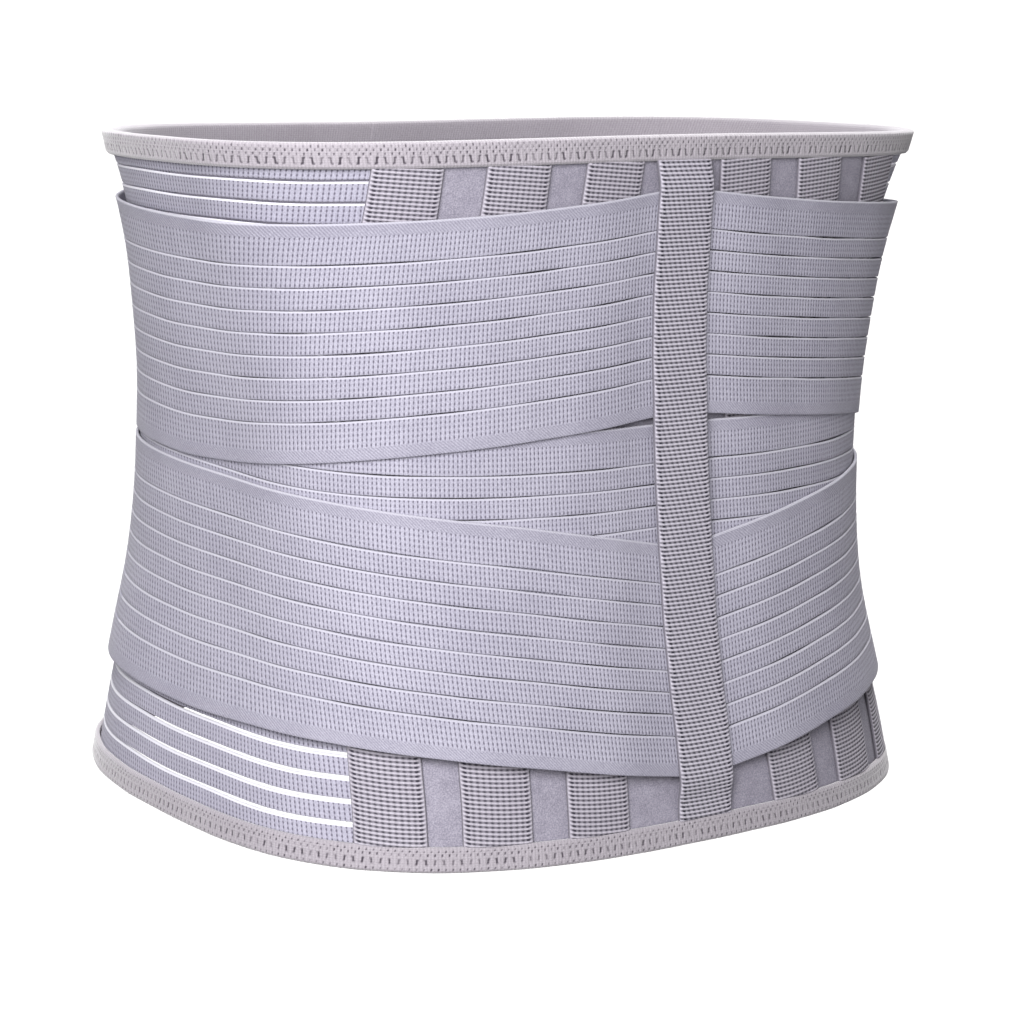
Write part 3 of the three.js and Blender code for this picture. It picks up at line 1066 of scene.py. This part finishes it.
@dataclass
class SidePanel:
    """A side wall of slit elastic, from under the outer stay channel to the front seam."""

    form: WornForm
    side: Side
    slits: int = 30
    first_slit: float = 15.0
    last_slit: float = 236.8
    slit_end: float = 304.0
    gape_heights: tuple[float, ...] = (0, 38, 70, 200, 250)
    gapes: tuple[float, ...] = (1.0, 0.95, 0.85, 0.8, 0.7)  # openings of the slits at those heights
    taper: float = 0.6  # how far the slits have closed where they end, as a share
    taper_shares: tuple[float, float] = (0.3, 0.85)  # where along the panel they close
    sag: float = 0.25  # how far the bands swing up and down
    sag_length: float = 70.0
    sewn_share: float = 0.15  # the share of the panel over which the back seam lets go of them
    slack: float = 0.12  # how far they swing in and out
    slack_length: float = 50.0
    inner_face: float = 0.4
    thickness: float = 1.2
    column_step: float = 3.2
    bands: BandRows = field(default_factory=lambda: BandRows(widest_row=3.2))

    @property
    def node(self) -> str:
        """The solid that this panel stands for."""
        return f"side_panel_{self.side.word}"

    def build(self) -> bpy.types.Object:
        """Cuts the panel, slits it and lays it round the side of the form.

        Returns:
            The finished piece.
        """
        middles = np.linspace(self.first_slit, self.last_slit, self.slits)
        gapes = np.interp(middles, self.gape_heights, self.gapes)
        lows = np.concatenate([[EDGE_TUCK], middles + gapes / 2])
        highs = np.concatenate([middles - gapes / 2, [HEIGHT - EDGE_TUCK]])
        widths = highs - lows
        band_of_row, up_of_row, slit_rows = self.bands.layout(widths)
        waist_seam = elastic_seam(np.array(WAIST_HEIGHT))
        reach = FRONT_SEAM - waist_seam
        shares = np.linspace(0, 1, round(reach / self.column_step) + 1)
        if self.side is Side.LEFT:
            shares = shares[::-1]
        plain_share = (self.slit_end - waist_seam) / reach

        def is_open(column: int, row: int) -> bool:
            """Whether the cell is part of a slit."""
            return row in slit_rows and max(shares[column], shares[column + 1]) <= plain_share

        cut = FlatCut(f"{self.node}_elastic", len(shares) - 1, len(up_of_row) - 1, is_open)
        band, up = band_of_row[cut.row], up_of_row[cut.row]
        width = widths[band]
        share = shares[cut.column]
        level = lows[band] + up
        seam = elastic_seam(level)
        reach_here = seam + (FRONT_SEAM - seam) * share
        dip = self.form.top_edge(reach_here) - HEIGHT
        height = level + dip * (level - EDGE_TUCK) / WALL_HEIGHT
        closing = self.taper * smoothstep(share, *self.taper_shares)
        below, above = np.append(0, gapes)[band] / 2, np.append(gapes, 0)[band] / 2
        height += closing * (above * up / width - below * (1 - up / width))
        swing = wander(reach_here + 3 * band, Seed.SIDE_SAG, self.sag_length)
        height += self.sag * swing * smoothstep(share, 0, self.sewn_share)
        lift = self.inner_face + self.bands.profile(up, width, cut.outer, self.thickness)
        lift += self.slack * wander(reach_here + 11 * band, Seed.SIDE_SWING, self.slack_length)
        cut.wrap(self.form, self.side.value * reach_here, height, lift)
        cut.map_cut(reach_here, level)
        cut.note("to_lip", width - up)
        cut.note("to_edge", np.full(len(up), BINDING_WIDTH))
        # Painted highlight on the slits' lips, wherever the panel has slits.
        cut.note("stretch", (share <= plain_share).astype(float))
        dress(cut.piece, self.node, SIDE_ELASTIC)
        return cut.piece


@dataclass
class BeltPanel:
    """A plain wall of brushed cloth between two seams, up to the folds of both bindings."""

    form: WornForm
    node: str
    first: Callable[[np.ndarray], np.ndarray]  # girth of its first edge at each height
    last: Callable[[np.ndarray], np.ndarray]
    cell: float = 4.0
    pucker: float = 0.14
    pucker_lengths: tuple[float, float] = (24.0, 30.0)  # along the girth and up
    settlings: int = 3  # rounds in which its heights and girths settle on each other

    def girth(self, height: np.ndarray, share: np.ndarray) -> np.ndarray:
        """The girth at a share of the way from the first edge to the last."""
        return self.first(height) + (self.last(height) - self.first(height)) * share

    def build(self) -> bpy.types.Object:
        """Cuts the panel and lays it round the form.

        Returns:
            The finished piece.
        """
        waist = np.array(WAIST_HEIGHT)
        width = abs(float(self.last(waist) - self.first(waist)))
        columns, rows = round(width / self.cell), round(WALL_HEIGHT / self.cell)
        cut = FlatCut(f"{self.node}_cloth", columns, rows)
        level = EDGE_TUCK + WALL_HEIGHT * cut.row / rows
        share = cut.column / columns
        height = level
        for _ in range(self.settlings):
            dip = self.form.top_edge(self.form.folded(self.girth(height, share), height)) - HEIGHT
            height = level + dip * (level - EDGE_TUCK) / WALL_HEIGHT
        girth = self.girth(height, share)
        lift = np.where(cut.outer, PANEL_THICKNESS, 0.0)
        along, up = self.pucker_lengths
        pucker = self.pucker * wander(girth, Seed.PUCKER_ALONG, along) * wander(height, Seed.PUCKER_UP, up)
        lift = lift + pucker
        cut.wrap(self.form, girth, height, lift)
        cut.map_cut(girth, level)
        dress(cut.piece, self.node, PANEL_CLOTH)
        heights = np.linspace(EDGE_TUCK, HEIGHT - EDGE_TUCK, rows)
        widths = np.abs(self.last(heights) - self.first(heights))
        return cut.piece


@dataclass
class EdgeBinding:
    """Folded elastic tape over an edge of the belt, pricked with rows of holes and zigzag sewn."""

    form: WornForm
    edge: Edge
    column_step: float = 0.6
    outer_face: float = 4.1
    inner_face: float = -2.0
    fold: float = 1.6  # depth of the rounded fold
    lip: float = 0.9  # width of the rounded lip along the free edge
    lip_drop: float = 0.7
    row_step: float = 0.45
    fold_points: int = 9
    inside_points: int = 6
    lean: float = 0.1  # how steeply the outer face leans in towards the fold
    hole_rows: tuple[float, ...] = (1.3, 2.5, 3.8)  # distances of the rows of holes from the fold
    hole_columns: int = 4
    hole_reach: tuple[float, float] = (0.66, 0.12)  # from its middle, where a hole starts and is full
    stitch_row: float = 6.0
    stitch_half: float = 1.3
    stitch_columns: int = 5
    stitch_slant: float = 0.28
    stitch_reach: tuple[float, float] = (0.66, 0.15)
    stitch_end: tuple[float, float] = (0.35, -0.1)  # past its half length, where it is gone and full
    pattern_columns: int = 20  # after which both patterns repeat
    dent_depth: float = 0.4
    hole_depths: tuple[float, float] = (0.55, 1.0)  # shares of it between which holes and stitches vary
    swell: float = 0.12  # how far the tape swings in and out
    swell_length: float = 35.0

    @property
    def node(self) -> str:
        """The solid that this binding stands for."""
        return f"{self.edge.word}_binding"

    def section(self) -> np.ndarray:
        """Draws the folded tape's closed section.

        Returns:
            The lift and the distance from the fold of each of its points.
        """
        outer = np.arange(BINDING_WIDTH, self.fold, -self.row_step)
        lip = np.interp(outer, [BINDING_WIDTH - self.lip, BINDING_WIDTH], [0, self.lip_drop])
        drops = lip + self.lean * (BINDING_WIDTH - outer)
        face = [(self.outer_face - drop, depth) for drop, depth in zip(drops, outer)]
        half = (face[-1][0] - self.inner_face) / 2
        middle = self.inner_face + half
        arc = np.linspace(0, math.pi, self.fold_points)
        over = [(middle + half * math.cos(a), self.fold * (1 - math.sin(a))) for a in arc]
        depths = np.linspace(self.fold, BINDING_WIDTH, self.inside_points)
        inside = [(self.inner_face, depth) for depth in depths[1:]]
        slack = 2 * SEAM_GAP
        roof = EDGE_TUCK - SEAM_GAP
        groove = [
            (-slack, BINDING_WIDTH),
            (-slack, roof),
            (PANEL_THICKNESS + slack, roof),
            (PANEL_THICKNESS + slack, BINDING_WIDTH),
        ]
        return np.array(face + over + inside + groove)

    def dents(self, column: np.ndarray, depth: np.ndarray) -> np.ndarray:
        """How deep each point of the outer face lies in a pricked hole or beside a stitch.

        Args:
            column: each point's column along the edge.
            depth: each point's distance from the fold.

        Returns:
            The depth as a share, from 0 to 1.
        """
        dent = np.zeros(len(column))
        counts = (len(self.hole_rows) + 1, column.max() + self.pattern_columns)
        depths = np.random.default_rng(Seed.HOLE_DEPTH).uniform(*self.hole_depths, counts)
        for number, row in enumerate(self.hole_rows):
            shift = number * self.hole_columns // 2
            along = (column + shift + self.hole_columns / 2) % self.hole_columns - self.hole_columns / 2
            from_hole = np.hypot(along * self.column_step, depth - row)
            hole = np.rint((column + shift) / self.hole_columns).astype(int)
            dent = np.maximum(dent, depths[number, hole] * smoothstep(from_hole, *self.hole_reach))
        leg = np.rint(column / self.stitch_columns).astype(int)
        slant = np.where(leg % 2 == 0, self.stitch_slant, -self.stitch_slant)
        along = (column - leg * self.stitch_columns) * self.column_step
        from_leg = np.abs(along - slant * (depth - self.stitch_row))
        stitch = depths[-1, leg] * smoothstep(from_leg, *self.stitch_reach)
        ends = (self.stitch_half + past for past in self.stitch_end)
        stitch *= smoothstep(np.abs(depth - self.stitch_row), *ends)
        return np.maximum(dent, stitch)

    def build(self) -> bpy.types.Object:
        """Folds the tape over the edge and sews it on.

        Returns:
            The finished piece.
        """
        section = self.section()
        if self.edge is Edge.BOTTOM:
            section = section[::-1]
        edge_height = HEIGHT if self.edge is Edge.TOP else 0.0
        round_it = 2 * float(self.form.half_girth(edge_height))
        columns = round(round_it / self.column_step / self.pattern_columns) * self.pattern_columns
        cut = FlatCut(f"{self.node}_tape", columns, len(section), two_faced=False)
        lift, depth = section[cut.row % len(section)].T
        round_share = 2 * cut.column / columns - 1
        start = edge_height
        if self.edge is Edge.TOP:
            start = self.form.top_edge(round_share * self.form.half_girth(HEIGHT))
        height = start + self.edge.value * depth
        outer_side = lift > PANEL_THICKNESS + 1
        past_fold = depth > self.fold * 0.6
        dent = np.where(outer_side & past_fold, self.dents(cut.column % columns, depth), 0)
        girth = round_share * self.form.half_girth(height)
        swell = self.swell * wander(girth, Seed.BINDING_SWELL, self.swell_length)
        swell *= np.abs(round_share) < 0.999  # none where the tape's two ends meet
        cut.wrap(self.form, girth, height, lift - self.dent_depth * dent + swell)
        cut.map_cut(cut.column * self.column_step, depth)
        # The dent's depth also sets how much painted shade the finish lays in it.
        cut.note("dent", dent)
        cut.close()
        dress(cut.piece, self.node, EDGE_TAPE)
        return cut.piece


def edge_binding(form: WornForm, edge: Edge) -> EdgeBinding:
    """The binding of one edge. The bottom one stands upright and is sewn nearer its fold.

    Args:
        form: the worn form.
        edge: the edge.

    Returns:
        The binding, ready to build.
    """
    if edge is Edge.TOP:
        return EdgeBinding(form, edge)
    hole_rows = (1.8, 6.5, 7.7)
    return EdgeBinding(form, edge, lean=0.0, hole_rows=hole_rows, stitch_row=4.1, stitch_half=0.85)


# Webbing


@dataclass
class WebbingStrip:
    """A strip of ribbed webbing up the back."""

    form: WornForm
    node: str
    finish: RibbedWebbing
    bottom: float
    top: float
    line: Callable[[np.ndarray], np.ndarray]  # girth of its middle line at each height
    lift: Callable[[np.ndarray], np.ndarray]  # lift of its inner face at each height
    thickness: float = 1.0
    crown: float = 0.3  # how far the stay inside raises its middle
    rib_height: float = 0.34
    rows_per_rib: int = 4
    slant: float = -0.15  # how steeply the border threads fall
    sag: float = 0.45  # how far the ribs hang in their middle, at the bottom end
    swing: float = 0.12  # how far it wanders from a straight line
    swing_length: float = 40.0
    half_columns: tuple[float, ...] = (0.0, 3.5, 7.0, 9.6, 10.4, 11.2, 11.9, 12.3, 12.5)
    edge_drop: tuple[float, ...] = (0.0, 0.1, 0.32, 0.62)  # how far it thins at the last columns
    edge_lift: float = 0.1  # how far its back lifts there

    def build(self) -> bpy.types.Object:
        """Weaves the strip and sews it up the back.

        Returns:
            The finished piece.
        """
        right = np.array(self.half_columns)
        across_columns = np.concatenate([-right[:0:-1], right])
        tall = self.top - self.bottom
        ribs = round(tall / self.finish.rib_pitch_mm)
        rows = ribs * self.rows_per_rib
        cut = FlatCut(f"{self.node}_webbing", len(across_columns) - 1, rows)
        across = across_columns[cut.column]
        along = tall * cut.row / rows
        height = self.bottom + along
        out = np.abs(across)
        lean = (self.line(self.top) - self.line(self.bottom)) / tall
        hang = self.sag * (1 - along / tall) * (1 - (out / right[-1]) ** 2)
        threads = along + lean * across + hang + self.slant * np.maximum(0, out - self.finish.border_mm)
        rib = 0.5 + 0.5 * np.cos(TURN * threads / (tall / ribs))
        edge = np.interp(out, right[-len(self.edge_drop) :], self.edge_drop)
        raised = self.thickness * (1 - edge) + self.crown * (1 - (out / right[-1]) ** 2)
        raised += self.rib_height * (rib - 0.5) * smoothstep(out, right[-1], right[-3])
        lift = self.lift(height) + np.where(cut.outer, raised, self.edge_lift * edge)
        swing = wander(height, Seed.WEBBING_SWING + ribs, self.swing_length)
        girth = self.line(height) + across + self.swing * swing
        cut.wrap(self.form, girth, height, lift)
        cut.map_cut(across, threads * self.finish.rib_pitch_mm / (tall / ribs))
        dress(cut.piece, self.node, self.finish)
        return cut.piece


def stay_channel(form: WornForm, channel: ChannelLine, side: Side) -> WebbingStrip:
    """A stay channel of the back.

    Args:
        form: the worn form.
        channel: its middle line on one side.
        side: the side that it is on.

    Returns:
        The strip, ready to build.
    """
    tuck = 0.2  # the ends go just under the bindings' lips
    seat = 0.45  # the strip's lift off the panel
    return WebbingStrip(
        form,
        f"stay_channel_{side.word}_{channel.number}",
        CHANNEL_WEBBING,
        bottom=BINDING_WIDTH - tuck,
        top=float(form.top_edge(channel.top + WEBBING_WIDTH / 2)) - BINDING_WIDTH + tuck,
        line=lambda height: side.value * channel.girth(height),
        lift=lambda height: np.full_like(height, PANEL_THICKNESS + seat),
    )


def centre_tape(form: WornForm) -> WebbingStrip:
    """The tape down the spine, which bridges all the straps.

    Args:
        form: the worn form.

    Returns:
        The strip, ready to build.
    """
    heights = (8.8, 17, 22, 232.5, 241.2)
    lifts = (2.5, 3.6, 6, 6, 2.9)
    return WebbingStrip(
        form,
        "centre_tape",
        TAPE_WEBBING,
        bottom=heights[0],
        top=heights[-1],
        line=np.zeros_like,
        lift=lambda height: eased(height, heights, lifts, reach=3.0),
        thickness=1.2,
        crown=0.0,
    )


# Studio


class LampKind(Enum):
    """A near softbox or a far, broad lamp, by Blender's names."""

    SOFTBOX = "AREA"
    FAR = "SUN"


@dataclass(frozen=True)
class Lamp:
    """A soft studio lamp that is turned towards the brace."""

    name: str
    kind: LampKind
    strength: float  # watts for a softbox, watts a square metre for a far lamp
    bearing_deg: float  # how far round to the wearer's left from behind it stands
    rise_deg: float
    distance: float = 950.0
    width: float = 600.0
    softness_deg: float = 40.0

    def build(self) -> None:
        """Hangs the lamp."""
        light = bpy.data.lights.new(self.name, self.kind.value)
        light.energy = self.strength
        if self.kind is LampKind.SOFTBOX:
            light.shape = "DISK"
            light.size = self.width * MM
        else:
            light.angle = math.radians(self.softness_deg)
        lamp = bpy.data.objects.new(self.name, light)
        bpy.context.scene.collection.objects.link(lamp)
        bearing, rise = math.radians(self.bearing_deg), math.radians(self.rise_deg)
        level = Vector((math.sin(bearing), math.cos(bearing), 0))
        towards = level * math.cos(rise) - Vector((0, 0, math.sin(rise)))
        lamp.location = towards * -self.distance * MM
        lamp.rotation_euler = towards.to_track_quat("-Z", "Y").to_euler()


@dataclass
class Studio:
    """The camera at the photograph's angle, a pale floor and soft light."""

    picture_px: float = 1020.0
    focal_px: float = 3027.67
    sensor: float = 36.0
    bearing_deg: float = 38.6045  # how far round to the wearer's left the camera stands
    distance: float = 1131.8
    camera_height: float = 204.34  # above the frame's origin
    pitch_deg: float = 11.4474
    roll_deg: float = 2.3301
    yaw_deg: float = -0.2599
    floor_drop: float = 420.0  # the worn brace is held well above the floor
    floor_side: float = 80000.0
    far_clip_m: float = 200.0
    paper: str = "#fbfafa"
    paper_roughness: float = 0.95
    paper_specular: float = 0.1
    walls: str = "#ffffff"
    sky_strength: float = 0.18
    wall_rise: tuple[float, float] = (0.06, 0.2)  # sines of the rise between which the walls fade
    lamps: tuple[Lamp, ...] = (
        Lamp("key_softbox", LampKind.SOFTBOX, strength=12.4, bearing_deg=50, rise_deg=24),
        Lamp("back_light", LampKind.FAR, strength=3.9, bearing_deg=218.6, rise_deg=55),
    )

    def build(self) -> None:
        """Sets the camera, the floor and the lights."""
        bpy.context.scene.view_settings.view_transform = "Standard"
        self.set_camera()
        self.lay_floor()
        self.light()

    def set_camera(self) -> None:
        """Stands the camera where the photograph was taken from."""
        bearing = math.radians(self.bearing_deg)
        azimuth = bearing + math.radians(self.yaw_deg)
        pitch, roll = math.radians(self.pitch_deg), math.radians(self.roll_deg)
        level = Vector((math.sin(azimuth), math.cos(azimuth), 0))
        forward = level * math.cos(pitch) - Vector((0, 0, math.sin(pitch)))
        flat_right = Vector((math.cos(azimuth), -math.sin(azimuth), 0))
        flat_up = level * math.sin(pitch) + Vector((0, 0, math.cos(pitch)))
        right = flat_right * math.cos(roll) + flat_up * math.sin(roll)
        up = flat_up * math.cos(roll) - flat_right * math.sin(roll)
        camera = bpy.data.objects.new("camera", bpy.data.cameras.new("camera"))
        bpy.context.scene.collection.objects.link(camera)
        turned = Matrix((right, up, -forward)).transposed().to_4x4()
        back, left = math.cos(bearing) * self.distance, math.sin(bearing) * self.distance
        stand = Vector((-left, -back, self.camera_height))
        camera.matrix_world = Matrix.Translation(stand * MM) @ turned
        camera.data.sensor_width = self.sensor
        camera.data.lens = self.focal_px * self.sensor / self.picture_px
        camera.data.clip_end = self.far_clip_m
        bpy.context.scene.camera = camera

    def lay_floor(self) -> None:
        """Lays the pale paper floor."""
        sweep = bmesh.new()
        bmesh.ops.create_grid(sweep, x_segments=8, y_segments=8, size=self.floor_side * MM / 2)
        bmesh.ops.translate(sweep, verts=sweep.verts[:], vec=(0, 0, -self.floor_drop * MM))
        mesh = bpy.data.meshes.new("studio_floor")
        sweep.to_mesh(mesh)
        sweep.free()
        floor = bpy.data.objects.new("studio_floor", mesh)
        bpy.context.scene.collection.objects.link(floor)
        material = bpy.data.materials.new("matt_backdrop_paper")
        material.use_nodes = True
        shader = material.node_tree.nodes["Principled BSDF"]
        shader.inputs["Base Color"].default_value = linear(self.paper)
        shader.inputs["Roughness"].default_value = self.paper_roughness
        shader.inputs["Specular IOR Level"].default_value = self.paper_specular
        mesh.materials.append(material)
        floor.visible_diffuse = False  # the white floor throws no light up at the brace

    def light(self) -> None:
        """Lights the brace from white walls, a softbox beside the camera and a broad lamp far off."""
        world = bpy.data.worlds.new("white_studio")
        world.use_nodes = True
        tree = world.node_tree
        tree.nodes.clear()
        ray = add_node(tree, "ShaderNodeTexCoord", output="Generated")
        rise = add_node(tree, "ShaderNodeSeparateXYZ", {"Vector": ray}, "Z")
        rise = add_node(tree, "ShaderNodeMath", {0: rise}, operation="ABSOLUTE")
        fade = {0: rise, 1: self.wall_rise[0], 2: self.wall_rise[1], 3: 1.0, 4: self.sky_strength}
        strength = add_node(tree, "ShaderNodeMapRange", fade, interpolation_type="SMOOTHSTEP")
        pale = add_node(tree, "ShaderNodeBackground", {"Color": linear(self.walls), "Strength": strength})
        add_node(tree, "ShaderNodeOutputWorld", {"Surface": pale})
        bpy.context.scene.world = world
        for lamp in self.lamps:
            lamp.build()


def belt_panels(form: WornForm) -> list[BeltPanel]:
    """The two plain walls of the belt: the back panel and the front closure.

    Args:
        form: the worn form.

    Returns:
        The two panels, ready to build.
    """

    def back_edge(height: np.ndarray) -> np.ndarray:
        """Girth of the back panel's edge."""
        return elastic_seam(height) - SEAM_GAP

    def front_edge(height: np.ndarray) -> np.ndarray:
        """Girth of the front closure's edge on the wearer's right."""
        return np.full_like(height, FRONT_SEAM + SEAM_GAP, dtype=float)

    def far_front_edge(height: np.ndarray) -> np.ndarray:
        """Girth of its other edge, counted on past the middle of the front."""
        return 2 * form.half_girth(height) - front_edge(height)

    back = BeltPanel(form, "back_panel", lambda height: -back_edge(height), back_edge)
    front = BeltPanel(form, "front_closure", front_edge, far_front_edge)
    return [back, front]


def main() -> None:
    """Builds the brace's pieces in the order that they are sewn."""
    logging.basicConfig(level=logging.INFO, format="%(message)s")
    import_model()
    Studio().build()
    form = WornForm()
    for panel in belt_panels(form):
        panel.build()
    for side in Side:
        SidePanel(form, side).build()
    for edge in Edge:
        edge_binding(form, edge).build()
    for side in Side:
        for channel in CHANNELS:
            stay_channel(form, channel, side).build()
    PullStrap(form, StrapRow.MIDDLE).build()
    for row in (StrapRow.LOWER, StrapRow.UPPER):
        for side in Side:
            PullStrap(form, row, side).build()
    centre_tape(form).build()


if __name__ == "__main__":
    main()
